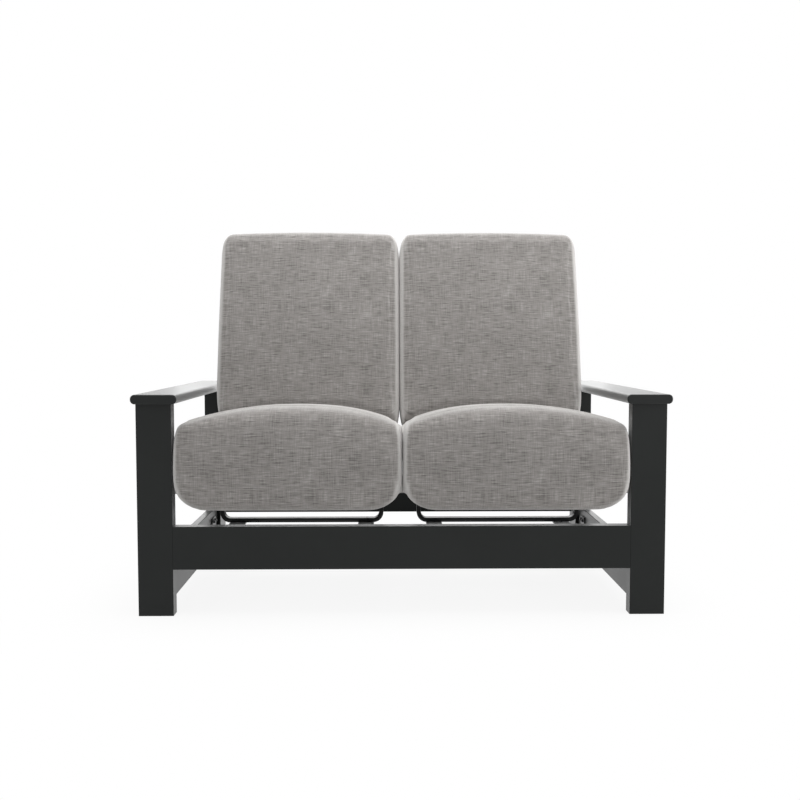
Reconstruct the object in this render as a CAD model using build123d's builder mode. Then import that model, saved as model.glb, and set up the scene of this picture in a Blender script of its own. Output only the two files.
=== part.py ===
from build123d import *
import os
from math import atan2, cos, radians, sin, sqrt, tan

os.makedirs("parts", exist_ok=True)

# Patio loveseat: two sprung seats, each on its own pair of leaf springs, in one frame of
# flat boards. Lengths are in millimetres. X runs along the length, -Y is the front and
# +Z is up. The origin is on the floor, under the middle of the bounding box.

# Board frame
frame_width = 1341.4
frame_depth = 839.6
leg_width = 88.9
leg_thickness = 38.1
back_leg_width = 48.0
back_leg_depth = 101.6
back_leg_inset = 33.7
front_rail_height = 110.0
front_rail_thickness = 31.8
front_rail_bottom = 118.7
side_rail_height = 130.6
side_rail_thickness = 21.0
side_rail_bottom = 23.0
side_rail_inset = 12.0
back_rail_height = 125.0
back_rail_thickness = 25.4
back_rail_bottom = 120.5
edge_round = 1.5

# Arm boards
arm_width = 115.0
arm_thickness = 23.8
arm_nose = 11.0
arm_end_chamfer = 1.6
arm_front_overhang = 25.0
arm_rear_overhang = 12.4
arm_side_overhang = 6.8

# Corner blocks behind the front rail
block_reach = 42.0
block_depth = 44.0
block_height = 88.0
block_rise = 6.0
block_chamfer = 26.0

# Steel base bars with their end plates, placed from the side rails' tops and the back
bar_width = 38.1
bar_height = 25.4
bar_wall = 2.0
bar_corner = 3.0
bar_drop = 46.5
bar_spacing = 242.0
rear_bar_gap = 177.6
plate_thickness = 5.0
plate_width = 56.0
plate_height = 80.0
plate_drop = 23.6
plate_corner = 6.0
plate_bolt_spacing = 24.0
plate_bolt_drop = 10.0

# Bucket frames: square steel tube, bent at the seat's rear. Each stands between the
# frame's middle and a leg.
bucket_middle_gap = 61.9
bucket_leg_gap = 63.7
tube = 25.4
tube_wall = 1.6
tube_edge = 2.0
tube_bend = 50.8
seat_setback = 32.0
seat_slope = 7.5
seat_depth = 476.0
back_recline = 16.0
back_height = 690.0
cap_flange = 2.0
cap_depth = 9.0
cap_clearance = 0.15
sling_thickness = 2.0
sling_drop = 1.0

# Hoops: flat bar bent to a U that carries each bucket on its springs
hoop_bar = 12.7
hoop_depth = 25.4
hoop_corner = 30.0
hoop_setback = 400.0
hoop_top_drop = 5.0

# Leaf springs, bent to a C
leaf_width = 46.0
leaf_thickness = 6.35
leaf_height = 80.0
leaf_inset = 38.6
leaf_front_setback = 200.0
leaf_overrun = 6.0

# Fasteners. Shanks and their holes, which are hidden, have few sides to keep the model light.
shank_sides = 8
round_head_sides = 12
bolt_radius = 4.0
bolt_head_radius = 7.2
bolt_head_height = 5.3
screw_radius = 3.0
screw_head_radius = 7.0
screw_head_height = 3.2
nut_radius = 5.8
nut_height = 5.0
screw_tip = 3.0
bolt_clearance = 0.3
blind_depth = 9.0
rail_bite = 40.0
leg_bolt_margin = 32.0

# Seat cushions. The lip hangs just above the front rail, which sets the seat's height and
# with it the arms'.
seat_cushion_gap = 1.0
leg_gap = 2.8
cushion_clearance = 0.5
lip_gap = 36.3
lip_drop = 121.0
arm_rise = 155.0
front_edge_rise = 150.0
crown_setback = 240.0
crown_drop = 12.0
rear_edge_drop = 66.0
nose_bulge = 25.0
nose_rise = 135.0
nose_top_bulge = 8.0
lip_bulge = 20.0
lip_rise = 4.0
lip_clearance = 4.0
crown_reach = 127.0
nose_top_round = 62.0
lip_round = 26.0
rear_top_round = 26.0
seat_crown_fall = 32.0
seat_nose_fall = 7.0
seat_top_corner = 30.0
seat_nose_corner = 28.0
seat_lip_corner = 60.0
seat_rear_corner = 24.0
seat_bottom_corner = 26.0

# Back cushions
back_cushion_gap = 1.8
arm_gap = 9.5
back_thickness = 125.0
back_rise = 30.0
back_rear_drop = 12.0
back_crown = 9.0
back_front_round = 1800.0
back_top_round = 38.0
back_rear_round = 28.0
back_bottom_round = 24.0
back_side_fall = 12.0
back_top_fall = 3.0
back_front_corner = 26.0
back_rear_corner = 14.0
back_top_corner = 27.0
back_low_corner = 26.0

# A cushion is lofted through sections across its width. These are their places, as shares
# of the half width from the middle out to the side, closest where the side rounds over.
section_shares = (0.0, 0.7, 0.92, 0.98, 1.0)

# Places that follow from the sizes above
half_width = frame_width / 2
arm_length = frame_depth + arm_front_overhang + arm_rear_overhang
arm_front = -arm_length / 2
front_face = arm_front + arm_front_overhang
back_face = front_face + frame_depth
leg_inner = half_width - leg_width
leg_back = front_face + leg_thickness
back_leg_outer = half_width - back_leg_inset
back_leg_inner = back_leg_outer - back_leg_width
back_leg_front = back_face - back_leg_depth
side_rail_inner = back_leg_inner + side_rail_inset
side_rail_outer = side_rail_inner + side_rail_thickness
side_rail_middle = (side_rail_inner + side_rail_outer) / 2
side_rail_top = side_rail_bottom + side_rail_height
seat_height = front_rail_bottom + front_rail_height + lip_gap + lip_drop
leg_height = seat_height + arm_rise
arm_outer = half_width + arm_side_overhang
arm_inner = arm_outer - arm_width

bolt_hole = bolt_radius + bolt_clearance
screw_hole = screw_radius + bolt_clearance
sides = (("left", -1), ("right", 1))
rear_bar = back_face - rear_bar_gap
bars = (("front", rear_bar - bar_spacing), ("rear", rear_bar))
plate_top = side_rail_top - plate_drop
plate_bolt_height = plate_top - plate_bolt_drop
bar_top = plate_top - bar_drop
bucket_width = leg_inner - bucket_leg_gap - bucket_middle_gap
seat_centre = bucket_middle_gap + bucket_width / 2
leaf_spread = bucket_width / 2 - leaf_inset
plate_inner = side_rail_inner - plate_thickness
leg_bolt_heights = (side_rail_bottom + leg_bolt_margin, side_rail_top - leg_bolt_margin)
rail_bolt_heights = (
    back_rail_bottom + leg_bolt_margin,
    back_rail_bottom + back_rail_height - leg_bolt_margin,
)
back_rail_middle = back_face - back_rail_thickness / 2


def tilted(x, place, angle):
    """The plane across X at a (y, z) place: its x runs rearwards, sloping down by angle."""
    slope = radians(angle)
    return Plane(
        origin=(x, place[0], place[1]),
        x_dir=(0, cos(slope), -sin(slope)),
        z_dir=(1, 0, 0),
    )


def in_world(place, angle, along, up):
    """The (y, z) point that a tilted plane holds at (along, up)."""
    slope = radians(angle)
    return (
        place[0] + along * cos(slope) + up * sin(slope),
        place[1] - along * sin(slope) + up * cos(slope),
    )


def round_for(reach, before, corner, after):
    """The radius that rounds a corner from a given distance along its runs."""
    first = atan2(corner[1] - before[1], corner[0] - before[0])
    second = atan2(after[1] - corner[1], after[0] - corner[0])
    return reach / abs(tan((second - first) / 2))


def polygon(plane, radius, sides):
    """A regular face on a plane, its corners on a circle of the given radius."""
    with BuildSketch(plane) as face:
        RegularPolygon(radius, sides)
    return face.sketch


def tube_face(plane, bore=0):
    """The square tube's outline on a plane, with a square bore if one is given."""
    with BuildSketch(plane) as face:
        Rectangle(tube, tube)
        chamfer(face.vertices(), tube_edge)
        if bore:
            Rectangle(bore, bore, mode=Mode.SUBTRACT)
    return face.sketch


def drawn_in(from_side, radius):
    """How far a corner of this radius draws a section in, at a distance from the side."""
    reach = max(radius - from_side, 0)
    return radius - sqrt(radius**2 - reach**2)


# Both halves of a cushion, from one side to the other
place_shares = [-share for share in reversed(section_shares)] + list(section_shares[1:])


# Board frame: legs
for side, sign in sides:
    with BuildPart() as front_leg:
        with BuildSketch(Plane.XY):
            with Locations((sign * (half_width - leg_width / 2), front_face + leg_thickness / 2)):
                Rectangle(leg_width, leg_thickness)
        extrude(amount=leg_height)
        fillet(front_leg.edges().filter_by(Axis.Z), edge_round)
    front_leg.part.label = f"{side}_front_leg"
    export_step(front_leg.part, f"parts/{side}_front_leg.step")

    with BuildPart() as back_leg:
        with BuildSketch(Plane.XY):
            with Locations(
                (sign * (back_leg_inner + back_leg_width / 2), back_face - back_leg_depth / 2)
            ):
                Rectangle(back_leg_width, back_leg_depth)
        extrude(amount=leg_height)
        fillet(back_leg.edges().filter_by(Axis.Z), edge_round)
        # Bolt holes: from the back into the side rail, and from outside into the back rail.
        with BuildSketch(Plane.XZ.offset(-back_face)):
            with Locations([(sign * side_rail_middle, z) for z in leg_bolt_heights]):
                RegularPolygon(bolt_hole, shank_sides)
        extrude(amount=back_leg_depth, mode=Mode.SUBTRACT)
        with BuildSketch(Plane.YZ.offset(sign * back_leg_inner)):
            with Locations([(back_rail_middle, z) for z in rail_bolt_heights]):
                RegularPolygon(bolt_hole, shank_sides)
        extrude(amount=sign * back_leg_width, mode=Mode.SUBTRACT)
    back_leg.part.label = f"{side}_back_leg"
    export_step(back_leg.part, f"parts/{side}_back_leg.step")

# Board frame: arms, with their long sides rounded to a nose
for side, sign in sides:
    with BuildPart() as arm:
        with BuildSketch(Plane.XZ.offset(-arm_front)):
            with Locations((sign * (arm_outer - arm_width / 2), leg_height + arm_thickness / 2)):
                RectangleRounded(arm_width, arm_thickness, arm_nose)
        extrude(amount=-arm_length)
        ends = arm.faces().filter_by(Axis.Y)
        chamfer(ends.edges(), arm_end_chamfer)
    arm.part.label = f"{side}_arm"
    export_step(arm.part, f"parts/{side}_arm.step")

# Board frame: front and back rails
with BuildPart() as front_rail:
    with BuildSketch(Plane.XZ.offset(-front_face)):
        with Locations((0, front_rail_bottom + front_rail_height / 2)):
            Rectangle(2 * leg_inner, front_rail_height)
    extrude(amount=-front_rail_thickness)
    fillet(front_rail.edges().filter_by(Axis.X), edge_round)
front_rail.part.label = "front_rail"
export_step(front_rail.part, "parts/front_rail.step")

with BuildPart() as back_rail:
    with BuildSketch(Plane.XZ.offset(-back_face)):
        with Locations((0, back_rail_bottom + back_rail_height / 2)):
            Rectangle(2 * back_leg_inner, back_rail_height)
    extrude(amount=back_rail_thickness)
    fillet(back_rail.edges().filter_by(Axis.X), edge_round)
    for side, sign in sides:
        with BuildSketch(Plane.YZ.offset(sign * back_leg_inner)):
            with Locations([(back_rail_middle, z) for z in rail_bolt_heights]):
                RegularPolygon(bolt_hole, shank_sides)
        extrude(amount=-sign * (rail_bite + blind_depth), mode=Mode.SUBTRACT)
back_rail.part.label = "back_rail"
export_step(back_rail.part, "parts/back_rail.step")

# Board frame: side rails, between the front and back legs
plate_bolt_places = [
    (bar_y + shift, plate_bolt_height)
    for bar_name, bar_y in bars
    for shift in (-plate_bolt_spacing / 2, plate_bolt_spacing / 2)
]
for side, sign in sides:
    with BuildPart() as side_rail:
        with BuildSketch(Plane.YZ.offset(sign * side_rail_inner)):
            with Locations(
                ((leg_back + back_leg_front) / 2, side_rail_bottom + side_rail_height / 2)
            ):
                Rectangle(back_leg_front - leg_back, side_rail_height)
        extrude(amount=sign * side_rail_thickness)
        fillet(side_rail.edges().filter_by(Axis.Y), edge_round)
        with BuildSketch(Plane.YZ.offset(sign * side_rail_inner)):
            with Locations(plate_bolt_places):
                RegularPolygon(screw_hole, shank_sides)
        extrude(amount=sign * side_rail_thickness, mode=Mode.SUBTRACT)
        with BuildSketch(Plane.XZ.offset(-back_leg_front)):
            with Locations([(sign * side_rail_middle, z) for z in leg_bolt_heights]):
                RegularPolygon(bolt_hole, shank_sides)
        extrude(amount=rail_bite + blind_depth, mode=Mode.SUBTRACT)
    side_rail.part.label = f"{side}_side_rail"
    export_step(side_rail.part, f"parts/{side}_side_rail.step")

# Corner blocks, notched round the front leg's back inner corner
block_bottom = front_rail_bottom + block_rise
block_end = leg_back + block_depth
rail_back = front_face + front_rail_thickness
for side, sign in sides:
    block_inner = leg_inner - block_reach
    with BuildPart() as corner_block:
        with BuildSketch(Plane.XY.offset(block_bottom)):
            with BuildLine():
                Polyline(
                    (sign * block_inner, rail_back),
                    (sign * leg_inner, rail_back),
                    (sign * leg_inner, leg_back),
                    (sign * side_rail_inner, leg_back),
                    (sign * side_rail_inner, block_end),
                    (sign * (block_inner + block_chamfer), block_end),
                    (sign * block_inner, block_end - block_chamfer),
                    close=True,
                )
            make_face()
        extrude(amount=block_height)
    corner_block.part.label = f"{side}_corner_block"
    export_step(corner_block.part, f"parts/{side}_corner_block.step")

# Base bars: rectangular tubes across the frame, drilled in their top wall for the springs
spring_places = [
    seat_sign * seat_centre + leaf_sign * leaf_spread
    for seat_side, seat_sign in sides
    for leaf_side, leaf_sign in sides
]
for bar_name, bar_y in bars:
    with BuildPart() as base_bar:
        with BuildSketch(Plane.YZ.offset(-plate_inner)):
            with Locations((bar_y, bar_top - bar_height / 2)):
                outside = Rectangle(bar_width, bar_height)
                chamfer(outside.vertices(), bar_corner)
                Rectangle(
                    bar_width - 2 * bar_wall, bar_height - 2 * bar_wall, mode=Mode.SUBTRACT
                )
        extrude(amount=2 * plate_inner)
        with BuildSketch(Plane.XY.offset(bar_top)):
            with Locations([(x, bar_y) for x in spring_places]):
                RegularPolygon(bolt_hole, shank_sides)
        extrude(amount=-2 * bar_wall, mode=Mode.SUBTRACT)
    base_bar.part.label = f"{bar_name}_base_bar"
    export_step(base_bar.part, f"parts/{bar_name}_base_bar.step")

    # End plates, flat against the side rails
    for side, sign in sides:
        with BuildPart() as bar_plate:
            with BuildSketch(Plane.YZ.offset(sign * plate_inner)):
                with Locations((bar_y, plate_top - plate_height / 2)):
                    plate = Rectangle(plate_width, plate_height)
                    chamfer(plate.vertices(), plate_corner)
                with Locations(
                    (bar_y - plate_bolt_spacing / 2, plate_bolt_height),
                    (bar_y + plate_bolt_spacing / 2, plate_bolt_height),
                ):
                    RegularPolygon(screw_hole, shank_sides, mode=Mode.SUBTRACT)
            extrude(amount=sign * plate_thickness)
        bar_plate.part.label = f"{side}_{bar_name}_bar_plate"
        export_step(bar_plate.part, f"parts/{side}_{bar_name}_bar_plate.step")

# Plate bolts: a flat head outside the side rail, a nut and the bolt's tip inside the plate
for side, sign in sides:
    with BuildPart() as plate_bolts:
        for bolt_y, bolt_z in plate_bolt_places:
            head = Plane(origin=(sign * side_rail_outer, bolt_y, bolt_z), z_dir=(sign, 0, 0))
            nut = Plane(origin=(sign * plate_inner, bolt_y, bolt_z), z_dir=(-sign, 0, 0))
            extrude(
                polygon(head, screw_head_radius, round_head_sides), amount=screw_head_height
            )
            extrude(
                polygon(head, screw_radius, shank_sides),
                amount=-(side_rail_outer - plate_inner + nut_height + screw_tip),
            )
            extrude(polygon(nut, nut_radius, 6), amount=nut_height)
    plate_bolts.part.label = f"{side}_plate_bolts"
    export_step(plate_bolts.part, f"parts/{side}_plate_bolts.step")

# Back leg bolts: two into the side rail from behind, two into the back rail from outside
for side, sign in sides:
    with BuildPart() as leg_bolts:
        for bolt_z in leg_bolt_heights:
            head = Plane(origin=(sign * side_rail_middle, back_face, bolt_z), z_dir=(0, 1, 0))
            extrude(polygon(head, bolt_head_radius, 6), amount=bolt_head_height)
            extrude(polygon(head, bolt_radius, shank_sides), amount=-(back_leg_depth + rail_bite))
        for bolt_z in rail_bolt_heights:
            head = Plane(origin=(sign * back_leg_outer, back_rail_middle, bolt_z), z_dir=(sign, 0, 0))
            extrude(polygon(head, bolt_head_radius, 6), amount=bolt_head_height)
            extrude(polygon(head, bolt_radius, shank_sides), amount=-(back_leg_width + rail_bite))
    leg_bolts.part.label = f"{side}_leg_bolts"
    export_step(leg_bolts.part, f"parts/{side}_leg_bolts.step")

# Leaf springs: lower leaf on the base bars, a half round bend in front, upper leaf under
# the hoop. Each is a C seen from the side.
hoop_middle = front_face + hoop_setback + hoop_depth / 2
leaf_low = bar_top
leaf_top = leaf_low + leaf_height
bend_outer = (leaf_top - leaf_low) / 2
bend_inner = bend_outer - leaf_thickness
bend_y = front_face + leaf_front_setback + bend_outer
bend_z = leaf_low + bend_outer
leaf_upper_end = hoop_middle + hoop_depth / 2 + leaf_overrun
leaf_lower_end = rear_bar + bar_width / 2 + leaf_overrun
for side, sign in sides:
    for place, leaf_sign in (("outer", sign), ("inner", -sign)):
        leaf_x = sign * seat_centre + leaf_sign * leaf_spread
        with BuildPart() as spring:
            with BuildSketch(Plane.YZ.offset(leaf_x)):
                with BuildLine():
                    outer_bend = ThreePointArc(
                        (bend_y, leaf_top),
                        (bend_y - bend_outer, bend_z),
                        (bend_y, leaf_low),
                    )
                    inner_bend = ThreePointArc(
                        (bend_y, leaf_low + leaf_thickness),
                        (bend_y - bend_inner, bend_z),
                        (bend_y, leaf_top - leaf_thickness),
                    )
                    Polyline(
                        outer_bend @ 1,
                        (leaf_lower_end, leaf_low),
                        (leaf_lower_end, leaf_low + leaf_thickness),
                        inner_bend @ 0,
                    )
                    Polyline(
                        inner_bend @ 1,
                        (leaf_upper_end, leaf_top - leaf_thickness),
                        (leaf_upper_end, leaf_top),
                        outer_bend @ 0,
                    )
                make_face()
            extrude(amount=leaf_width / 2, both=True)
            with BuildSketch(Plane.XY.offset(leaf_top)):
                with Locations((leaf_x, hoop_middle)):
                    RegularPolygon(bolt_hole, shank_sides)
            extrude(amount=-leaf_thickness, mode=Mode.SUBTRACT)
            with BuildSketch(Plane.XY.offset(leaf_low)):
                with Locations([(leaf_x, bar_y) for bar_name, bar_y in bars]):
                    RegularPolygon(bolt_hole, shank_sides)
            extrude(amount=leaf_thickness, mode=Mode.SUBTRACT)
        spring.part.label = f"{side}_{place}_spring"
        export_step(spring.part, f"parts/{side}_{place}_spring.step")

    # Bolts from above through the lower leaves into the base bars
    with BuildPart() as base_bolts:
        for leaf_sign in (-1, 1):
            for bar_name, bar_y in bars:
                leaf_x = sign * seat_centre + leaf_sign * leaf_spread
                head = Plane(origin=(leaf_x, bar_y, leaf_low + leaf_thickness), z_dir=(0, 0, 1))
                extrude(polygon(head, bolt_head_radius, 6), amount=bolt_head_height)
                extrude(polygon(head, bolt_radius, shank_sides), amount=-(leaf_thickness + 2 * bar_wall))
    base_bolts.part.label = f"{side}_base_bolts"
    export_step(base_bolts.part, f"parts/{side}_base_bolts.step")

# Bucket frames. The seat's top plane starts at the front tube's front upper corner, and
# the back's front plane starts where it meets the seat's.
seat_start = (front_face + seat_setback, seat_height)
back_start = in_world(seat_start, seat_slope, seat_depth, 0)
turn = 90 - back_recline + seat_slope
bend_run = tube_bend * tan(radians(turn / 2))
rail_start = in_world(seat_start, seat_slope, tube, -tube / 2)
rail_corner_run = tube / 2 * tan(radians(turn / 2))
rail_corner = in_world(seat_start, seat_slope, seat_depth + rail_corner_run, -tube / 2)
rail_end = in_world(back_start, back_recline, tube / 2, back_height - tube)
rear_tube_end = seat_depth + rail_corner_run - bend_run
back_sling_start = bend_run - rail_corner_run
tube_bore = tube - 2 * tube_wall
front_tube_place = in_world(seat_start, seat_slope, tube / 2, -tube / 2)
rear_tube_place = in_world(seat_start, seat_slope, rear_tube_end - tube / 2, -tube / 2)
top_tube_place = in_world(back_start, back_recline, tube / 2, back_height - tube / 2)
rail_outer = bucket_width / 2
rail_inner = rail_outer - tube
hoop_run = (hoop_middle - seat_start[0]) / cos(radians(seat_slope))
hoop_rail_z = in_world(seat_start, seat_slope, hoop_run, -tube / 2)[1]
hoop_top = in_world(seat_start, seat_slope, hoop_run, 0)[1] - hoop_top_drop

for side, sign in sides:
    middle = sign * seat_centre

    # Side rails: one bent tube each, from the front tube to the top tube
    for place, rail_sign in (("outer", sign), ("inner", -sign)):
        rail_middle = middle + rail_sign * (rail_outer - tube / 2)
        with BuildPart() as bucket_rail:
            with BuildLine(Plane.YZ.offset(rail_middle)) as route:
                FilletPolyline(rail_start, rail_corner, rail_end, radius=tube_bend)
            across = Plane(origin=route.line @ 0, x_dir=(1, 0, 0), z_dir=route.line % 0)
            sweep(tube_face(across, tube_bore), path=route.line)
            with BuildSketch(Plane.YZ.offset(rail_middle)):
                with Locations((hoop_middle, hoop_rail_z)):
                    RegularPolygon(screw_hole, shank_sides)
            extrude(amount=tube / 2, both=True, mode=Mode.SUBTRACT)
        bucket_rail.part.label = f"{side}_{place}_bucket_rail"
        export_step(bucket_rail.part, f"parts/{side}_{place}_bucket_rail.step")

    # Front and top tubes run across the rails' ends, with an open bore for their caps
    for tube_name, place, slope in (
        ("front", front_tube_place, seat_slope),
        ("top", top_tube_place, back_recline),
    ):
        with BuildPart() as cross_tube:
            across = tilted(middle - rail_outer, place, slope)
            extrude(tube_face(across, tube_bore), amount=bucket_width)
        cross_tube.part.label = f"{side}_{tube_name}_tube"
        export_step(cross_tube.part, f"parts/{side}_{tube_name}_tube.step")

    # Rear tube, between the rails just ahead of their bends
    with BuildPart() as rear_tube:
        across = tilted(middle - rail_inner, rear_tube_place, seat_slope)
        extrude(tube_face(across, tube_bore), amount=2 * rail_inner)
    rear_tube.part.label = f"{side}_rear_tube"
    export_step(rear_tube.part, f"parts/{side}_rear_tube.step")

    # Caps in the four open tube ends
    with BuildPart() as tube_caps:
        for place, slope in ((front_tube_place, seat_slope), (top_tube_place, back_recline)):
            for cap_sign in (-1, 1):
                across = tilted(middle + cap_sign * rail_outer, place, slope)
                extrude(tube_face(across), amount=cap_sign * cap_flange)
                with BuildSketch(across):
                    Rectangle(tube_bore - 2 * cap_clearance, tube_bore - 2 * cap_clearance)
                extrude(amount=-cap_sign * cap_depth)
    tube_caps.part.label = f"{side}_tube_caps"
    export_step(tube_caps.part, f"parts/{side}_tube_caps.step")

    # Slings: the seat's spans all four tubes, the back's starts where the rails run straight
    with BuildPart() as seat_sling:
        with BuildSketch(tilted(middle - rail_inner, seat_start, seat_slope)):
            with Locations((rear_tube_end / 2, -sling_drop - sling_thickness / 2)):
                Rectangle(rear_tube_end - 2 * tube, sling_thickness)
        extrude(amount=2 * rail_inner)
    seat_sling.part.label = f"{side}_seat_sling"
    export_step(seat_sling.part, f"parts/{side}_seat_sling.step")

    with BuildPart() as back_sling:
        with BuildSketch(tilted(middle - rail_inner, back_start, back_recline)):
            with Locations(
                (sling_drop + sling_thickness / 2, (back_sling_start + back_height - tube) / 2)
            ):
                Rectangle(sling_thickness, back_height - tube - back_sling_start)
        extrude(amount=2 * rail_inner)
    back_sling.part.label = f"{side}_back_sling"
    export_step(back_sling.part, f"parts/{side}_back_sling.step")

    # Hoop: its legs lap the outside of the bucket rails, its crossbar sits on the springs
    hoop_leg = middle + rail_outer + hoop_bar / 2
    other_leg = middle - rail_outer - hoop_bar / 2
    with BuildPart() as hoop:
        with BuildLine(Plane.XZ.offset(-hoop_middle)) as bent:
            FilletPolyline(
                (other_leg, hoop_top),
                (other_leg, leaf_top + hoop_bar / 2),
                (hoop_leg, leaf_top + hoop_bar / 2),
                (hoop_leg, hoop_top),
                radius=hoop_corner - hoop_bar / 2,
            )
        with BuildSketch(Plane(origin=bent.line @ 0, x_dir=(1, 0, 0), z_dir=bent.line % 0)):
            Rectangle(hoop_bar, hoop_depth)
        sweep()
        with BuildSketch(Plane.YZ.offset(other_leg - hoop_bar)):
            with Locations((hoop_middle, hoop_rail_z)):
                RegularPolygon(screw_hole, shank_sides)
        extrude(amount=bucket_width + 3 * hoop_bar, mode=Mode.SUBTRACT)
        with BuildSketch(Plane.XY.offset(leaf_top)):
            with Locations(
                (middle - leaf_spread, hoop_middle),
                (middle + leaf_spread, hoop_middle),
            ):
                RegularPolygon(bolt_hole, shank_sides)
        extrude(amount=blind_depth, mode=Mode.SUBTRACT)
    hoop.part.label = f"{side}_hoop"
    export_step(hoop.part, f"parts/{side}_hoop.step")

    # Rail bolts, through the hoop's legs and the bucket rails, with their nuts inside
    with BuildPart() as rail_bolts:
        for bolt_sign in (-1, 1):
            head_x = middle + bolt_sign * (rail_outer + hoop_bar)
            nut_x = middle + bolt_sign * rail_inner
            head = Plane(origin=(head_x, hoop_middle, hoop_rail_z), z_dir=(bolt_sign, 0, 0))
            nut = Plane(origin=(nut_x, hoop_middle, hoop_rail_z), z_dir=(-bolt_sign, 0, 0))
            extrude(polygon(head, nut_radius, 6), amount=nut_height)
            extrude(
                polygon(head, screw_radius, shank_sides),
                amount=-(hoop_bar + tube + nut_height + screw_tip),
            )
            extrude(polygon(nut, nut_radius, 6), amount=nut_height)
    rail_bolts.part.label = f"{side}_rail_bolts"
    export_step(rail_bolts.part, f"parts/{side}_rail_bolts.step")

    # Hoop bolts, from below through the upper leaves into the crossbar
    with BuildPart() as hoop_bolts:
        for bolt_x in (middle - leaf_spread, middle + leaf_spread):
            head = Plane(origin=(bolt_x, hoop_middle, leaf_top - leaf_thickness), z_dir=(0, 0, -1))
            extrude(polygon(head, bolt_head_radius, 6), amount=bolt_head_height)
            extrude(polygon(head, bolt_radius, shank_sides), amount=-(leaf_thickness + blind_depth / 2))
    hoop_bolts.part.label = f"{side}_hoop_bolts"
    export_step(hoop_bolts.part, f"parts/{side}_hoop_bolts.step")

# Seat cushions: flat on the bucket, crowned on top, with a nose that rolls down in front
seat_cushion_inner = seat_cushion_gap
seat_cushion_outer = leg_inner - leg_gap
seat_half = (seat_cushion_outer - seat_cushion_inner) / 2
front_edge_height = seat_height + front_edge_rise
crown_height = front_edge_height - crown_drop
rear_edge_height = front_edge_height - rear_edge_drop
lip_bottom = seat_height - lip_drop
nose_height = lip_bottom + nose_rise


def seat_bottom(y, gap):
    """Height of the bucket's top plane at y, raised by a gap."""
    return seat_start[1] - (y - seat_start[0]) * tan(radians(seat_slope)) + gap


def back_plane(z, gap):
    """The y of the back's front plane at a height, moved forward by a gap."""
    return back_start[0] + (z - back_start[1]) * tan(radians(back_recline)) - gap


def seat_outline(share):
    """The corners of a seat section and the rounding of each, at a share of the half width."""
    from_side = (1 - abs(share)) * seat_half
    front = seat_nose_fall * share**2 + drawn_in(from_side, seat_nose_corner)
    top = seat_crown_fall * share**2 + drawn_in(from_side, seat_top_corner)
    lip = drawn_in(from_side, seat_lip_corner)
    rear = drawn_in(from_side, seat_rear_corner)
    bottom = drawn_in(from_side, seat_bottom_corner)
    lip_back = seat_start[0] - lip_clearance
    rear_foot = back_plane(back_start[1], cushion_clearance + rear)
    rear_head = back_plane(rear_edge_height - top, cushion_clearance + rear)
    corners = (
        (rear_foot, seat_bottom(rear_foot, cushion_clearance + bottom)),
        (rear_head, rear_edge_height - top),
        (front_face + crown_setback, crown_height - top),
        (front_face - nose_top_bulge + front, front_edge_height - top),
        (front_face - nose_bulge + front, nose_height),
        (front_face - lip_bulge + front, lip_bottom + lip),
        (lip_back, lip_bottom + lip_rise + lip),
        (lip_back, seat_bottom(lip_back, cushion_clearance + bottom)),
    )
    narrow = 1 - front / (lip_bulge + seat_setback - lip_clearance)
    radii = (
        tube_bend - tube / 2,
        rear_top_round - top / 4,
        round_for(crown_reach, *corners[1:4]),
        nose_top_round,
        0,
        lip_round * narrow,
        0,
        0,
    )
    return corners, radii


for side, sign in sides:
    cushion_middle = sign * (seat_cushion_inner + seat_half)
    with BuildPart() as seat_cushion:
        for share in place_shares:
            corners, radii = seat_outline(share)
            with BuildSketch(Plane.YZ.offset(cushion_middle + share * seat_half)):
                with BuildLine():
                    FilletPolyline(*corners, radius=radii, close=True)
                make_face()
        loft(ruled=True)
    seat_cushion.part.label = f"{side}_seat_cushion"
    export_step(seat_cushion.part, f"parts/{side}_seat_cushion.step")

# Back cushions: they lean on the back slings and stand on the seat cushions' rear
back_cushion_outer = arm_inner - arm_gap
back_half = (back_cushion_outer - back_cushion_gap) / 2
back_top = back_height + back_rise
rear_slope = (crown_height - rear_edge_height) / (
    back_plane(rear_edge_height, cushion_clearance) - front_face - crown_setback
)


def stand_height(along):
    """Where the seat cushion's top lies in the back's plane, with the clearance added."""
    slope = radians(back_recline)
    y = back_start[0] + along * cos(slope)
    z = back_start[1] - along * sin(slope)
    top = crown_height - rear_slope * (y - front_face - crown_setback) + 2 * cushion_clearance
    return (top - z) / (cos(slope) + rear_slope * sin(slope))


def back_outline(share):
    """The corners of a back section in the back's plane and the rounding of each."""
    from_side = (1 - abs(share)) * back_half
    front_fall = back_side_fall * share**2 + drawn_in(from_side, back_front_corner)
    front = front_fall - cushion_clearance - back_thickness
    rear_fall = drawn_in(from_side, back_rear_corner)
    rear = -cushion_clearance - rear_fall
    top_fall = back_top_fall * share**2 + drawn_in(from_side, back_top_corner)
    top = back_top - top_fall
    bottom = drawn_in(from_side, back_low_corner)
    waist = (stand_height(front) + top) / 2
    corners = (
        (rear, stand_height(rear) + bottom),
        (rear, top - back_rear_drop),
        (front + back_crown, top),
        (front, waist),
        (front + back_crown, stand_height(front) + bottom),
    )
    radii = (
        back_bottom_round,
        back_rear_round - rear_fall / 2,
        back_top_round - top_fall / 2,
        back_front_round,
        back_bottom_round,
    )
    return corners, radii


for side, sign in sides:
    cushion_middle = sign * (back_cushion_gap + back_half)
    with BuildPart() as back_cushion:
        for share in place_shares:
            corners, radii = back_outline(share)
            with BuildSketch(tilted(cushion_middle + share * back_half, back_start, back_recline)):
                with BuildLine():
                    FilletPolyline(*corners, radius=radii, close=True)
                make_face()
        loft(ruled=True)
    back_cushion.part.label = f"{side}_back_cushion"
    export_step(back_cushion.part, f"parts/{side}_back_cushion.step")
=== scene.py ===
import math

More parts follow.
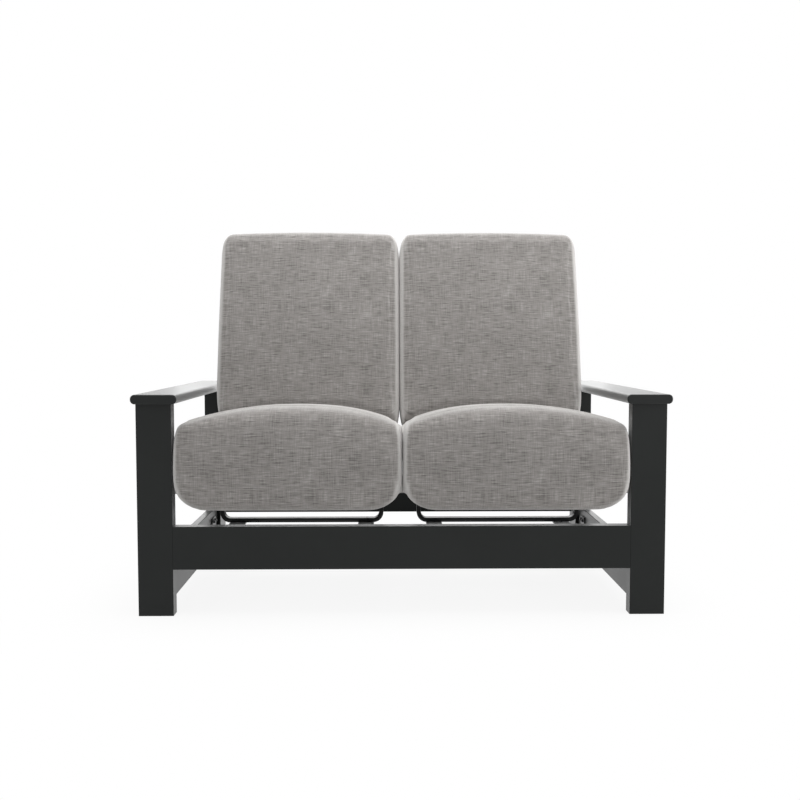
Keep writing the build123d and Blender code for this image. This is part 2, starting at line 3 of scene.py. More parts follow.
import bmesh
import bpy
import numpy as np
from mathutils import Matrix, Vector
from mathutils.bvhtree import BVHTree


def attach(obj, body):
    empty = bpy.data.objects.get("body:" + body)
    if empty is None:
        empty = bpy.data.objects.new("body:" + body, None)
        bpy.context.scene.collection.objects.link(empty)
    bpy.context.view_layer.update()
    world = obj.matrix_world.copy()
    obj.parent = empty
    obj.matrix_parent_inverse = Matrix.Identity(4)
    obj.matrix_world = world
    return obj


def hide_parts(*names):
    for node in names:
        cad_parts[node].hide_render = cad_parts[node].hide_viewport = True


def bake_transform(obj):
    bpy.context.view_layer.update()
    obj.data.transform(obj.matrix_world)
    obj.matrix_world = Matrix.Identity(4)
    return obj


bl_info = {
    "name": "Patio loveseat",
    "version": (1, 0, 0),
    "blender": (4, 5, 0),
    "location": "3D View > Sidebar > Loveseat",
    "description": "Dresses a spring-rocking patio loveseat in its boards, steel and cushions",
    "category": "Object",
}

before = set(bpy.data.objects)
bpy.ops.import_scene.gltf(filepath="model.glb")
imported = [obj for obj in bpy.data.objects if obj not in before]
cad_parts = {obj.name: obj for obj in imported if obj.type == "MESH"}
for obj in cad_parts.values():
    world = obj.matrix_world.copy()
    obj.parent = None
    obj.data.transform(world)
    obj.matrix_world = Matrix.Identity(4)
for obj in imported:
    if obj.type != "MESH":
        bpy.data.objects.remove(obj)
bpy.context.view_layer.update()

SEATS = (("left", -1), ("right", 1))

# Sizes and places of the CAD model, in metres
SEAT_CENTRE = 0.29
SEAT_SLOPE = math.radians(7.5)
BACK_RECLINE = math.radians(16.0)
SEAT_START = (-0.3815, 0.386)
BACK_START = (0.090428, 0.32387)
TUBE = 0.0254
TUBE_BEND = 0.0508
RAIL_OUTER = 0.2281
RAIL_INNER = 0.2027
RAIL_ROUTE = ((-0.357975, 0.370093), (0.099619, 0.30985), (0.285824, 0.959223))
SEAT_SLING = (0.0254, 0.417771)
BACK_SLING = (0.032829, 0.6646)
SLING_DROP = 0.002
LEAF_SPREAD = 0.1895
LEAF_LOW = 0.0835
LEAF_TOP = 0.1635
LEAF_THICKNESS = 0.00635
LEAF_WIDTH = 0.046
LEAF_FRONT = -0.2135
LEAF_UPPER_END = 0.0179
LEAF_LOWER_END = 0.27355
HOOP_MIDDLE = -0.0008
HOOP_BAR = 0.0127
HOOP_DEPTH = 0.0254
HOOP_CORNER = 0.03
HOOP_TOP = 0.33088
RAIL_BOLT_HEIGHT = 0.323289
BARS = (0.0065, 0.2485)
BACK_FACE = 0.4261
BACK_RAIL_MIDDLE = 0.4134
BACK_LEG_OUTER = 0.637
SIDE_RAIL_OUTER = 0.622
SIDE_RAIL_MIDDLE = 0.6115
PLATE_INNER = 0.596
PLATE_BOLTS = ((-0.0055, 0.12), (0.0185, 0.12), (0.2365, 0.12), (0.2605, 0.12))
SIDE_BOLT_HEIGHTS = (0.055, 0.1216)
BACK_BOLT_HEIGHTS = (0.1525, 0.2135)

# The cushions' shapes, in metres
SEAT_HALF = 0.293
SEAT_REACH = 0.5812
FRONT_FACE = -0.4135
FRONT_EDGE = 0.536
CROWN = (-0.1735, 0.524)
REAR_EDGE = 0.47
REAR_SLOPE = 0.1769
SEAT_FALL = 0.052
SEAT_SHOULDER = 0.018
SEAT_BOW = 0.007
LIP_BOTTOM = 0.265
LIP_GAP = 0.004
LIP_RISE = 0.004
# How far a seat cushion stands out before FRONT_FACE at its top edge, its belly and its lip
EDGE_OUT, BELLY_OUT, LIP_OUT = 0.008, 0.025, 0.02
BELLY_RISE = 0.135
# Width and depth of the bulges beside a seat cushion's sides
SEAT_BULGES = {
    "front": (0.018, 0.032), "top_front": (0.015, 0.075), "top_crown": (0.015, 0.055),
    "top_rear": (0.015, 0.035), "lip": (0.09, 0.078), "lip_edge": (0.02, 0.03),
}
BACK_MIDDLE = 0.2757
BACK_HALF = 0.2779
BACK_TOP = 0.7235
BACK_THICKNESS = 0.125
BACK_BOW = 0.012
BACK_TOP_BOW = 0.003
BACK_EASE = 0.009
CORNER_DROP = 0.045
BACK_FRONT_BULGE = (0.021, 0.028)
# The same on a back cushion's inner and outer side
BACK_UPPER_BULGES = ((0.035, 0.09), (0.035, 0.066))
BACK_LOWER_BULGES = ((0.014, 0.085), (0.03, 0.13))
# Gaps to what a cushion rests on, of its pattern and of the finished cushion
CLEAR = 0.0005
TOUCH = 0.0003

# Repeats per metre along and across the cloth, start, detail and roughness of the yarns' noises
YARNS = {
    "weft": (26.0, 360.0, 0.0, 2.0, 0.6),
    "slub": (40.0, 330.0, 5.0, 0.0, 0.5),
    "warp": (380.0, 20.0, 9.0, 2.0, 0.6),
    "fine": (800.0, 800.0, 3.0, 1.0, 0.5),
    "cloud": (9.0, 16.0, 2.0, 1.0, 0.5),
}
# How the cloth of a cushion gives way
CLOTH = {
    "use_pressure": True, "quality": 3, "mass": 0.3, "tension_stiffness": 12,
    "compression_stiffness": 12, "bending_stiffness": 1.5,
}
SHARP = math.radians(35)
WHITE = (1.0, 1.0, 1.0, 1.0)

# Each lamp's name, place, target, size and power, in metres and watts
LAMPS = (
    ("overhead", (0.0, 0.05, 2.6), (0.0, 0.05, 0.5), 2.6, 66.0),
    ("key", (-1.5, -2.5, 1.9), (0.0, 0.0, 0.5), 1.6, 8.0),
    ("fill", (1.7, -2.4, 1.3), (0.0, 0.0, 0.5), 1.6, 9.0),
    ("left_side", (-2.6, -0.4, 0.8), (0.0, 0.0, 0.5), 1.6, 5.0),
    ("right_side", (2.6, -0.4, 0.9), (0.0, 0.0, 0.5), 1.6, 30.0),
    ("behind", (0.0, 2.8, 1.3), (0.0, 0.0, 0.4), 2.6, 30.0),
)


# ---- settings


def a_number(name, description, default, **kind):
    return bpy.props.FloatProperty(name=name, description=description, default=default, **kind)


def a_length(name, description, default):
    return a_number(name, description, default, unit="LENGTH")


def an_angle(name, description, default):
    return a_number(name, description, default, subtype="ANGLE")


def a_share(name, description, default):
    return a_number(name, description, default, subtype="FACTOR", min=0, max=1)


def a_colour(name, description, default):
    return bpy.props.FloatVectorProperty(
        name=name, description=description, default=default, subtype="COLOR", min=0, max=1
    )


class StageSettings(bpy.types.PropertyGroup):
    """The camera, the lamps and the floor"""

    lens: a_number("Lens", "Focal length", 42.848)
    eye: bpy.props.FloatVectorProperty(
        name="Eye", description="Where the camera stands", subtype="XYZ", unit="LENGTH",
        default=(-0.0431, -2.8062, 0.6944),
    )
    pitch: an_angle("Pitch", "How far the camera looks down", 0.0603)
    yaw: an_angle("Yaw", "How far the camera turns to the right", 0.0154)
    ambient: a_number("Ambient", "Strength of the even light", 0.4)
    floor_shadow: a_share("Floor shadow", "How much of the shadow the floor shows", 0.1)


class CushionSettings(bpy.types.PropertyGroup):
    """How the cushions are stuffed"""

    voxel: a_length("Voxel", "Size of the cloth's cells", 0.0065)
    shrink: a_length("Shrink", "How much smaller the pad starts", 0.003)
    pressure: a_number("Pressure", "How hard the stuffing pushes", 4.0)
    swell: a_length("Swell", "How far a pad may stand proud of its pattern", 0.0025)
    dip: a_length("Dip", "How far a pad may sink inside its pattern", 0.0015)
    frames: bpy.props.IntProperty(name="Frames", description="Length of the simulation", default=16)


class FabricSettings(bpy.types.PropertyGroup):
    """The upholstery's colours and yarns"""

    dark: a_colour("Dark yarn", "Colour of the dark slubs", (0.135, 0.127, 0.12))
    middle: a_colour("Ground", "Colour of the ground weave", (0.25, 0.237, 0.226))
    light: a_colour("Light yarn", "Colour of the light yarns", (0.37, 0.353, 0.338))
    # Painted light: this pale colour is mixed into the cushions' sides to stand in for sheen and
    # light falling there
    side: a_colour("Sides", "Colour that the cushions' sides tend to", (0.62, 0.605, 0.59))
    yarn: a_length("Yarn pitch", "Distance between two yarns", 0.0014)
    # Painted sheen: strength of a pale shader mixed in where the cushions are seen at a slant
    painted_fuzz_sheen: a_share("Fuzz", "Strength of the light fibre ends seen at a slant", 0.22)


class BarSettings(bpy.types.PropertyGroup):
    """The bent bars, the springs and the slings"""

    tube_edge: a_length("Tube edge", "Rounding of the square tubes' edges", 0.003)
    bar_edge: a_length("Bar edge", "Rounding of the flat bars' edges", 0.0012)
    sag: a_length("Sag", "How far a sling gives in its middle", 0.004)
    stitch: a_length("Stitch", "Length of a stitch and its gap", 0.0045)


class BoltSettings(bpy.types.PropertyGroup):
    """The bolts, screws and nuts"""

    hex_radius: a_length("Hex radius", "Half the width across a hex head's corners", 0.0072)
    hex_height: a_length("Hex height", "Height of a hex head", 0.0053)
    bolt_radius: a_length("Bolt radius", "Radius of a bolt's shank", 0.004)
    pan_radius: a_length("Pan radius", "Radius of a pan head", 0.007)
    pan_height: a_length("Pan height", "Height of a pan head", 0.0032)
    nut_radius: a_length("Nut radius", "Half the width across a nut's corners", 0.0058)
    nut_height: a_length("Nut height", "Height of a nut", 0.005)
    screw_radius: a_length("Screw radius", "Radius of a screw's shank", 0.003)


class BoardSettings(bpy.types.PropertyGroup):
    """The boards' and the steel's finishes"""

    board: a_colour("Board", "Colour of the boards", (0.0125, 0.0142, 0.0136))
    steel: a_colour("Steel", "Colour of the coated steel", (0.0135, 0.014, 0.0143))


# ---- shader maths


class Number:
    """A value in a node tree. Arithmetic on it adds Math nodes."""

    def __init__(self, owner, socket):
        self.owner = owner
        self.socket = socket

    def beside(self, output):
        """Another output of the same node."""
        return Number(self.owner, self.socket.node.outputs[output])

    def sum(self, operation, first, second=0.0):
        return self.owner.node("ShaderNodeMath", {0: first, 1: second}, operation=operation)

    def __add__(self, other):
        return self.sum("ADD", self, other)

    __radd__ = __add__

    def __sub__(self, other):
        return self.sum("SUBTRACT", self, other)

    def __rsub__(self, other):
        return self.sum("SUBTRACT", other, self)

    def __mul__(self, other):
        return self.sum("MULTIPLY", self, other)

    __rmul__ = __mul__

    def sine(self):
        return self.sum("SINE", self)

    def absolute(self):
        return self.sum("ABSOLUTE", self)

    def between(self, low, high):
        """0 below low and 1 above high, smooth in between."""
        values = {"Value": self, "From Min": low, "From Max": high}
        return self.owner.node("ShaderNodeMapRange", values, interpolation_type="SMOOTHSTEP")


class Tree:
    """A node tree being made, held in self.tree."""

    def node(self, kind, values=None, output=0, **settings):
        """Adds a node: its settings first, then the values or links of its sockets."""
        made = self.tree.nodes.new(kind)
        for name, value in settings.items():
            setattr(made, name, value)
        for name, value in (values or {}).items():
            for part in value if isinstance(value, list) else [value]:
                if isinstance(part, Number):
                    self.tree.links.new(part.socket, made.inputs[name])
                else:
                    made.inputs[name].default_value = part
        return Number(self, made.outputs[output])

    def place(self, x=0.0, y=0.0, z=0.0):
        return self.node("ShaderNodeCombineXYZ", {"X": x, "Y": y, "Z": z})


class Finish(Tree):
    """A material, or the world, being made."""

    def __init__(self, name, kind="Material"):
        makers = {"Material": bpy.data.materials, "World": bpy.data.worlds}
        self.kind = kind
        self.made = makers[kind].new(name)
        self.made.use_nodes = True
        self.tree = self.made.node_tree
        self.tree.nodes.clear()

    def split(self, vector):
        """The three parts of a vector."""
        x = self.node("ShaderNodeSeparateXYZ", {"Vector": vector})
        return x, x.beside("Y"), x.beside("Z")

    def noise(self, vector, scale, detail, roughness):
        values = {"Vector": vector, "Scale": scale, "Detail": detail, "Roughness": roughness}
        return self.node("ShaderNodeTexNoise", values)

    def spot(self):
        """The surface point in the piece's own space, in metres."""
        return self.node("ShaderNodeTexCoord", output="Object")

    def cloth_place(self):
        """Where the surface lies on the cloth, in metres, and how much it faces a side."""
        return self.split(
            self.node("ShaderNodeAttribute", attribute_name="cloth_place", output="Vector")
        )

    def mixed(self, share, first, second):
        """A colour between two others."""
        first, second = (
            colour if isinstance(colour, Number) else (*colour, 1.0) for colour in (first, second)
        )
        return self.node("ShaderNodeMix", {0: share, 6: first, 7: second}, 2, data_type="RGBA")

    def bump(self, height, strength, distance):
        values = {"Height": height, "Strength": strength, "Distance": distance}
        return self.node("ShaderNodeBump", values)

    def principled(self, colour, roughness, values):
        """A Principled shader, with its other inputs by name."""
        return self.node(
            "ShaderNodeBsdfPrincipled", {"Base Color": colour, "Roughness": roughness, **values}
        )

    def shared(self, share, first, second):
        """A shader between two others."""
        return self.node("ShaderNodeMixShader", {0: share, 1: first, 2: second})

    def seen(self):
        """1 for what the camera sees, straight or mirrored, and 0 for other light."""
        camera = self.node("ShaderNodeLightPath", output="Is Camera Ray")
        return camera.sum("MAXIMUM", camera, camera.beside("Is Glossy Ray"))

    def done(self, shader):
        """Links the shader to the output."""
        end = self.tree.nodes.new(f"ShaderNodeOutput{self.kind}")
        self.tree.links.new(shader.socket, end.inputs["Surface"])
        return self.made


def brighter(colour, factor):
    """A colour times a factor."""
    return tuple(min(1.0, part * factor) for part in colour)


def board_finish(settings):
    """Dense polymer board: satin, with a faint grain and pale speckle."""
    finish = Finish("charcoal_board")
    spot = finish.spot()
    x, y, z = finish.split(spot)
    speckle = finish.noise(spot, 900.0, 2.0, 0.6)
    cloud = finish.noise(spot, 6.0, 3.0, 0.55)
    grain = finish.noise(finish.place(x * 60.0, y * 60.0, z * 60.0), 1.0, 4.0, 0.6)
    base = tuple(settings.board)
    colour = finish.mixed(cloud.between(0.35, 0.7), brighter(base, 0.88), base)
    colour = finish.mixed(speckle.between(0.62, 0.85) * 0.5, colour, brighter(base, 1.35))
    values = {
        "Normal": finish.bump(0.6 * speckle + 0.4 * grain, 0.06, 0.0004), "Specular IOR Level": 0.2,
        "Sheen Weight": 0.5, "Sheen Roughness": 0.3,
    }
    return finish.done(finish.principled(colour, 0.25 + 0.06 * cloud + 0.04 * grain, values))


def steel_finish(name, colour, rough, pits):
    """Powder-coated steel, with the coat's orange peel."""
    finish = Finish(name)
    spot = finish.spot()
    peel = finish.noise(spot, 420.0, 2.0, 0.5)
    cloud = finish.noise(spot, 14.0, 3.0, 0.5)
    tone = finish.mixed(cloud.between(0.4, 0.75), colour, brighter(colour, 1.3))
    values = {
        "Normal": finish.bump(peel, pits, 0.0005), "Specular IOR Level": 0.25,
        "Sheen Weight": 0.5, "Sheen Roughness": 0.3,
    }
    return finish.done(finish.principled(tone, rough + 0.08 * cloud, values))


def finish_named(name):
    """One of the coated metals, made when it is first asked for."""
    settings = bpy.context.scene.loveseat_boards
    coats = {
        "black_coat": (tuple(settings.steel), 0.24, 0.08),
        "tube_coat": (tuple(settings.board), 0.3, 0.1),
        "bolt_coat": ((0.028, 0.028, 0.03), 0.3, 0.05),
    }
    return bpy.data.materials.get(name) or steel_finish(name, *coats[name])


def cap_finish():
    """Black moulded plastic with a fine grain."""
    finish = Finish("cap_plastic")
    spot = finish.spot()
    grain = finish.noise(spot, 1600.0, 2.0, 0.6)
    cloud = finish.noise(spot, 40.0, 2.0, 0.5)
    tone = finish.mixed(cloud, (0.013, 0.013, 0.014), (0.019, 0.019, 0.02))
    values = {"Normal": finish.bump(grain, 0.3, 0.0003)}
    return finish.done(finish.principled(tone, 0.5 + 0.1 * grain, values))


def basket(along, across, pitch):
    """The height of strands that cross at a pitch, from 0 to 1."""
    turns = math.pi / pitch
    return (along * turns).sine().absolute() * (across * turns).sine().absolute()


def weave(finish, along, across, pitch):
    """The tone and the height of the upholstery at a place on the cloth, in metres: uneven weft
    yarns with dark slubs, crossed by finer warp yarns."""
    weft, slub, warp, fine, cloud = (
        finish.noise(finish.place(along * long, across * wide, start), 1.0, detail, roughness)
        for long, wide, start, detail, roughness in YARNS.values()
    )
    tone = (
        0.52 + 1.45 * (weft - 0.5) + 0.75 * (warp - 0.5) + 0.4 * (fine - 0.5) + 0.3 * (cloud - 0.5)
        - 0.18 * slub.between(0.6, 0.74)
    )
    return tone, basket(along, across, pitch) + 0.5 * weft + 0.35 * warp


def fabric_finish(settings):
    """Heathered upholstery: slubby weft streaks over a close ground weave, with painted light that
    makes the cushions' sides paler, a soft sheen, and a pale shader mixed in at a slant as painted
    sheen."""
    finish = Finish("heathered_fabric")
    along, across, side = finish.cloth_place()
    _, y, z = finish.split(finish.spot())
    front_tone, front_height = weave(finish, along, across, settings.yarn)
    side_tone, side_height = weave(finish, y, z, settings.yarn)
    share = side.between(0.62, 0.72)
    tone = front_tone + share * (side_tone - front_tone)
    height = front_height + share * (side_height - front_height)
    colour = finish.mixed(tone.between(0.1, 0.5), tuple(settings.dark), tuple(settings.middle))
    colour = finish.mixed(tone.between(0.5, 0.9), colour, tuple(settings.light))
    # Painted light: the sides are mixed towards a pale colour, less so where they face straight
    # sideways, standing in for sheen and light there
    painted_side_light = side.between(0.25, 0.7) * 0.62 - side.between(0.9, 1.0) * 0.2
    values = {
        "Normal": finish.bump(height, 0.25, 0.0005), "Sheen Weight": 0.4, "Sheen Roughness": 0.4,
        "Sheen Tint": (1.0, 0.99, 0.98, 1.0), "Specular IOR Level": 0.2,
    }
    cloth = finish.principled(finish.mixed(painted_side_light, colour, tuple(settings.side)), 0.95, values)
    # Painted sheen: a pale shader, mixed in where the surface is seen at a slant, stands in for the
    # sheen of fibre ends
    ends = finish.principled((0.8, 0.79, 0.775, 1.0), 1.0, {"Specular IOR Level": 0.0})
    slant = finish.node("ShaderNodeLayerWeight", {"Blend": 0.5}, output="Facing")
    return finish.done(finish.shared(settings.painted_fuzz_sheen * slant.between(0.25, 0.85), cloth, ends))


def sling_finish():
    """Coated mesh: a close basket of dark strands, with painted shade where the weave lies low."""
    finish = Finish("sling_mesh")
    along, across, _ = finish.cloth_place()
    height = basket(along, across, 0.0017)
    # Painted shade: darker where the weave lies low, between the strands
    tone = finish.mixed(height.between(0.15, 0.8), (0.008, 0.008, 0.009), (0.042, 0.043, 0.044))
    return finish.done(finish.principled(tone, 0.62, {"Normal": finish.bump(height, 0.6, 0.0008)}))


# ---- mesh helpers


def add_object(name, mesh):
    made = bpy.data.objects.new(name, mesh)
    bpy.context.scene.collection.objects.link(made)
    return made


def evaluated_mesh(source):
    """The mesh of an object with its modifiers applied."""
    graph = bpy.context.evaluated_depsgraph_get()
    return bpy.data.meshes.new_from_object(source.evaluated_get(graph), depsgraph=graph)


def bake(source):
    """Applies the modifiers of an object."""
    mesh = evaluated_mesh(source)
    source.modifiers.clear()
    source.data = mesh


def vectors_of(items, name):
    """A vector of each item, as the rows of an array."""
    found = np.zeros(len(items) * 3)
    items.foreach_get(name, found)
    return found.reshape(-1, 3)


def points_of(mesh):
    return vectors_of(mesh.vertices, "co")


def normals_of(mesh):
    return vectors_of(mesh.vertex_normals, "vector")


def set_points(mesh, points):
    mesh.vertices.foreach_set("co", points.ravel())
    mesh.update()


def finish_piece(piece, material, slot, *nodes):
    """Gives a piece its material, and lets it stand for CAD nodes by hiding them. Its slot is not
    used.
    """
    piece.data.materials.clear()
    piece.data.materials.append(material)
    if nodes:
        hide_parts(*nodes)
    return piece


def store_places(mesh, places):
    """Stores each point's place on the cloth, for the fabrics to read."""
    attribute = mesh.attributes.new("cloth_place", "FLOAT_VECTOR", "POINT")
    attribute.data.foreach_set("vector", np.array(places, np.float32).ravel())


def shaded(mesh):
    """Shades a mesh smooth but for its sharp edges."""
    mesh.shade_smooth()
    mesh.set_sharp_from_angle(angle=SHARP)


def dress_node(name, material):
    """Gives a CAD node its material."""
    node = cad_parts[name]
    node.data.materials.clear()
    node.data.materials.append(material)


# ---- geometry nodes


class Growth(Tree):
    """A Geometry Nodes tree being made, with named inputs for its sizes."""

    kinds = {float: "Float", int: "Int", tuple: "Vector", type(None): "Material"}

    def __init__(self, name, **inputs):
        self.tree = bpy.data.node_groups.new(name, "GeometryNodeTree")
        face = self.tree.interface
        face.new_socket("Geometry", in_out="INPUT", socket_type="NodeSocketGeometry")
        for label, value in inputs.items():
            kind = self.kinds[type(value)]
            made = face.new_socket(label, in_out="INPUT", socket_type=f"NodeSocket{kind}")
            if value is not None:
                made.default_value = value
        face.new_socket("Geometry", in_out="OUTPUT", socket_type="NodeSocketGeometry")
        self.start = self.tree.nodes.new("NodeGroupInput")

    def given(self, label="Geometry"):
        return Number(self, self.start.outputs[label])

    def upward(self, solid, height):
        """Moves a solid along its own Z."""
        values = {"Geometry": solid, "Translation": self.place(z=height)}
        return self.node("GeometryNodeTransform", values)

    def cylinder(self, sides, radius, depth):
        values = {"Vertices": sides, "Radius": radius, "Depth": depth}
        return self.node("GeometryNodeMeshCylinder", values)

    def path(self):
        """The chain of edges that the tree runs on, as a curve."""
        return self.node("GeometryNodeMeshToCurve", {0: self.given()})

    def filleted(self, curve, count, radius):
        values = {"Curve": curve, "Count": count, "Radius": radius}
        return self.node("GeometryNodeFilletCurve", values, mode="POLY")

    def on_points(self, points, solid, facing):
        """The solid on each point, its Z along a direction."""
        turn = self.node("FunctionNodeAlignRotationToVector", {"Vector": facing}, axis="Z")
        values = {"Points": points, "Instance": solid, "Rotation": turn}
        return self.node("GeometryNodeInstanceOnPoints", values)

    def done(self, solid):
        """Ends the tree: real geometry, in the given material."""
        real = self.node("GeometryNodeRealizeInstances", {"Geometry": solid})
        values = {"Geometry": real, "Material": self.given("Material")}
        end = self.tree.nodes.new("NodeGroupOutput")
        self.tree.links.new(self.node("GeometryNodeSetMaterial", values).socket, end.inputs[0])
        return self

    def grow(self, points, linked=True, **values):
        """The plain mesh that the tree makes on a chain of points, or on loose ones."""
        mesh = bpy.data.meshes.new("points")
        chain = [(index, index + 1) for index in range(len(points) - 1)]
        mesh.from_pydata(points, chain if linked else [], [])
        source = add_object("points", mesh)
        modifier = source.modifiers.new("growth", "NODES")
        modifier.node_group = self.tree
        for socket in self.tree.interface.items_tree:
            if socket.item_type == "SOCKET" and socket.name in values:
                modifier[socket.identifier] = values[socket.name]
        mesh = evaluated_mesh(source)
        bpy.data.objects.remove(source)
        return mesh


def bent_bar_growth():
    """A bar of rectangular section with rounded edges that follows a path of straight runs,
    bent to a radius at its corners. Its width lies along Across."""
    growth = Growth(
        "bent_bar", Width=0.02, Height=0.02, Edge=0.002, Bend=0.05, Across=(1.0, 0.0, 0.0),
        Material=None,
    )
    bent = growth.filleted(growth.path(), 14, growth.given("Bend"))
    values = {"Curve": bent, "Normal": growth.given("Across")}
    path = growth.node("GeometryNodeSetCurveNormal", values, mode="FREE")
    sides = {name: growth.given(name) for name in ("Width", "Height")}
    section = growth.node("GeometryNodeCurvePrimitiveQuadrilateral", sides)
    section = growth.filleted(section, 3, growth.given("Edge"))
    values = {"Curve": path, "Profile Curve": section, "Fill Caps": True}
    return growth.done(growth.node("GeometryNodeCurveToMesh", values))


def fastener_growth():
    """One fastener at each point: a washer face, a head that narrows at its top, and a shank that
    reaches out of the head or, with a reach below 0, into the work."""
    growth = Growth(
        "fastener", Radius=0.007, Height=0.005, Sides=6, Washer=1.1, Top=0.85, Shank=0.004,
        Reach=0.02, Facing=(0.0, 0.0, 1.0), Material=None,
    )
    radius, height, sides, reach = map(growth.given, ("Radius", "Height", "Sides", "Reach"))
    brim, straight = height * 0.2, height * 0.8
    washer = growth.cylinder(20, radius * growth.given("Washer"), brim)
    body = growth.cylinder(sides, radius, straight)
    narrow = radius * growth.given("Top")
    values = {"Vertices": sides, "Radius Top": narrow, "Radius Bottom": radius, "Depth": brim}
    top = growth.node("GeometryNodeMeshCone", values)
    shank = growth.cylinder(16, growth.given("Shank"), reach.absolute())
    parts = [
        growth.upward(shank, reach * 0.5),
        growth.upward(top, straight),
        growth.upward(body, height * 0.4),
        growth.upward(washer, brim * 0.5),
    ]
    whole = growth.node("GeometryNodeJoinGeometry", {"Geometry": parts})
    return growth.done(growth.on_points(growth.given(), whole, growth.given("Facing")))


def stitch_growth():
    """A row of short raised stitches along a path."""
    growth = Growth("stitch_row", Pitch=0.0045, Thread=0.0005, Material=None)
    pitch = growth.given("Pitch")
    values = {"Curve": growth.path(), "Length": pitch}
    steps = growth.node("GeometryNodeCurveToPoints", values, mode="LENGTH")
    stitch = growth.cylinder(6, growth.given("Thread"), pitch * 0.7)
    return growth.done(growth.on_points(steps, stitch, steps.beside("Tangent")))


def joined(name, meshes):
    """One object of several meshes, its doubles merged and its normals facing out."""
    whole = bmesh.new()
    for mesh in meshes:
        whole.from_mesh(mesh)
    bmesh.ops.remove_doubles(whole, verts=whole.verts, dist=1e-6)
    bmesh.ops.recalc_face_normals(whole, faces=whole.faces)
    mesh = bpy.data.meshes.new(name)
    whole.to_mesh(mesh)
    whole.free()
    shaded(mesh)
    return add_object(name, mesh)


def bent_piece(growth, name, route, coat, slot, node, **sizes):
    """A bent bar along a route, as a finished piece that stands for a CAD node."""
    mesh = growth.grow(route, Material=coat, **sizes)
    return finish_piece(joined(name, [mesh]), coat, slot, node)


# ---- cushions


def rounded(corners):
    """A closed outline of close points through corners, each with the radius that rounds it."""
    points = []
    for index, (_, _, radius) in enumerate(corners):
        before, here, after = (
            np.array(corners[(index + step) % len(corners)][:2]) for step in (-1, 0, 1)
        )
        into, out = (before - here), (after - here)
        into, out = into / np.linalg.norm(into), out / np.linalg.norm(out)
        half = math.acos(max(-1.0, min(1.0, float(into @ out)))) / 2
        if radius < 1e-6 or math.pi / 2 - half < 1e-3:
            points.append(here)
            continue
        run = radius / math.tan(half)
        middle = here + (into + out) / np.linalg.norm(into + out) * (radius / math.sin(half))
        first, last = here + into * run - middle, here + out * run - middle
        start = math.atan2(first[1], first[0])
        turn = (math.atan2(last[1], last[0]) - start + math.pi) % (2 * math.pi) - math.pi
        steps = max(3, int(abs(turn) * radius / 0.004))
        for step in range(steps + 1):
            angle = start + turn * step / steps
            points.append(middle + radius * np.array((math.cos(angle), math.sin(angle))))
    return np.array(points)


def evenly(outline, count):
    """The same closed outline through evenly spread points."""
    closed = np.vstack([outline, outline[:1]])
    far = np.concatenate(([0.0], np.cumsum(np.linalg.norm(np.diff(closed, axis=0), axis=1))))
    places = np.linspace(0.0, far[-1], count, endpoint=False)
    return np.stack([np.interp(places, far, closed[:, axis]) for axis in (0, 1)], 1)


def drawn_in(from_side, radius):
    """How far a corner of this radius draws a section in, at a distance from the side."""
    reach = max(radius - from_side, 0.0)
    return radius - math.sqrt(radius**2 - reach**2)


def bulged_in(from_side, width, depth):
    """The same for a long bulge: an ellipse over a width and a depth."""
    reach = max(width - from_side, 0.0) / width
    return depth * (1 - math.sqrt(1 - reach**2))


def seat_fall(share):
    """How far a seat cushion's top falls at a share of its half width, positive outwards."""
    power = 2.0 if share > 0 else 2.6
    return SEAT_FALL * abs(share) ** power + drawn_in((1 - abs(share)) * SEAT_HALF, SEAT_SHOULDER)


def corner_drop(x):
    """How far the fallen top of a seat cushion lets the back cushion down at x."""
    share = (abs(x) - SEAT_CENTRE) / SEAT_HALF
    return min(seat_fall(max(-1.0, min(share, 1.0))), CORNER_DROP)


def on_slope(start, angle, along, up):
    """The (y, z) point at (along, up) in a plane that slopes down to the back."""
    return (
        start[0] + along * math.cos(angle) + up * math.sin(angle),
        start[1] - along * math.sin(angle) + up * math.cos(angle),
    )


def back_plane(height, gap):
    """The y of the back's front plane at a height, moved forward by a gap."""
    return BACK_START[0] + (height - BACK_START[1]) * math.tan(BACK_RECLINE) - gap


def seat_bottom(y, gap):
    """Height of the seat's top plane at y, raised by a gap."""
    return SEAT_START[1] - (y - SEAT_START[0]) * math.tan(SEAT_SLOPE) + gap


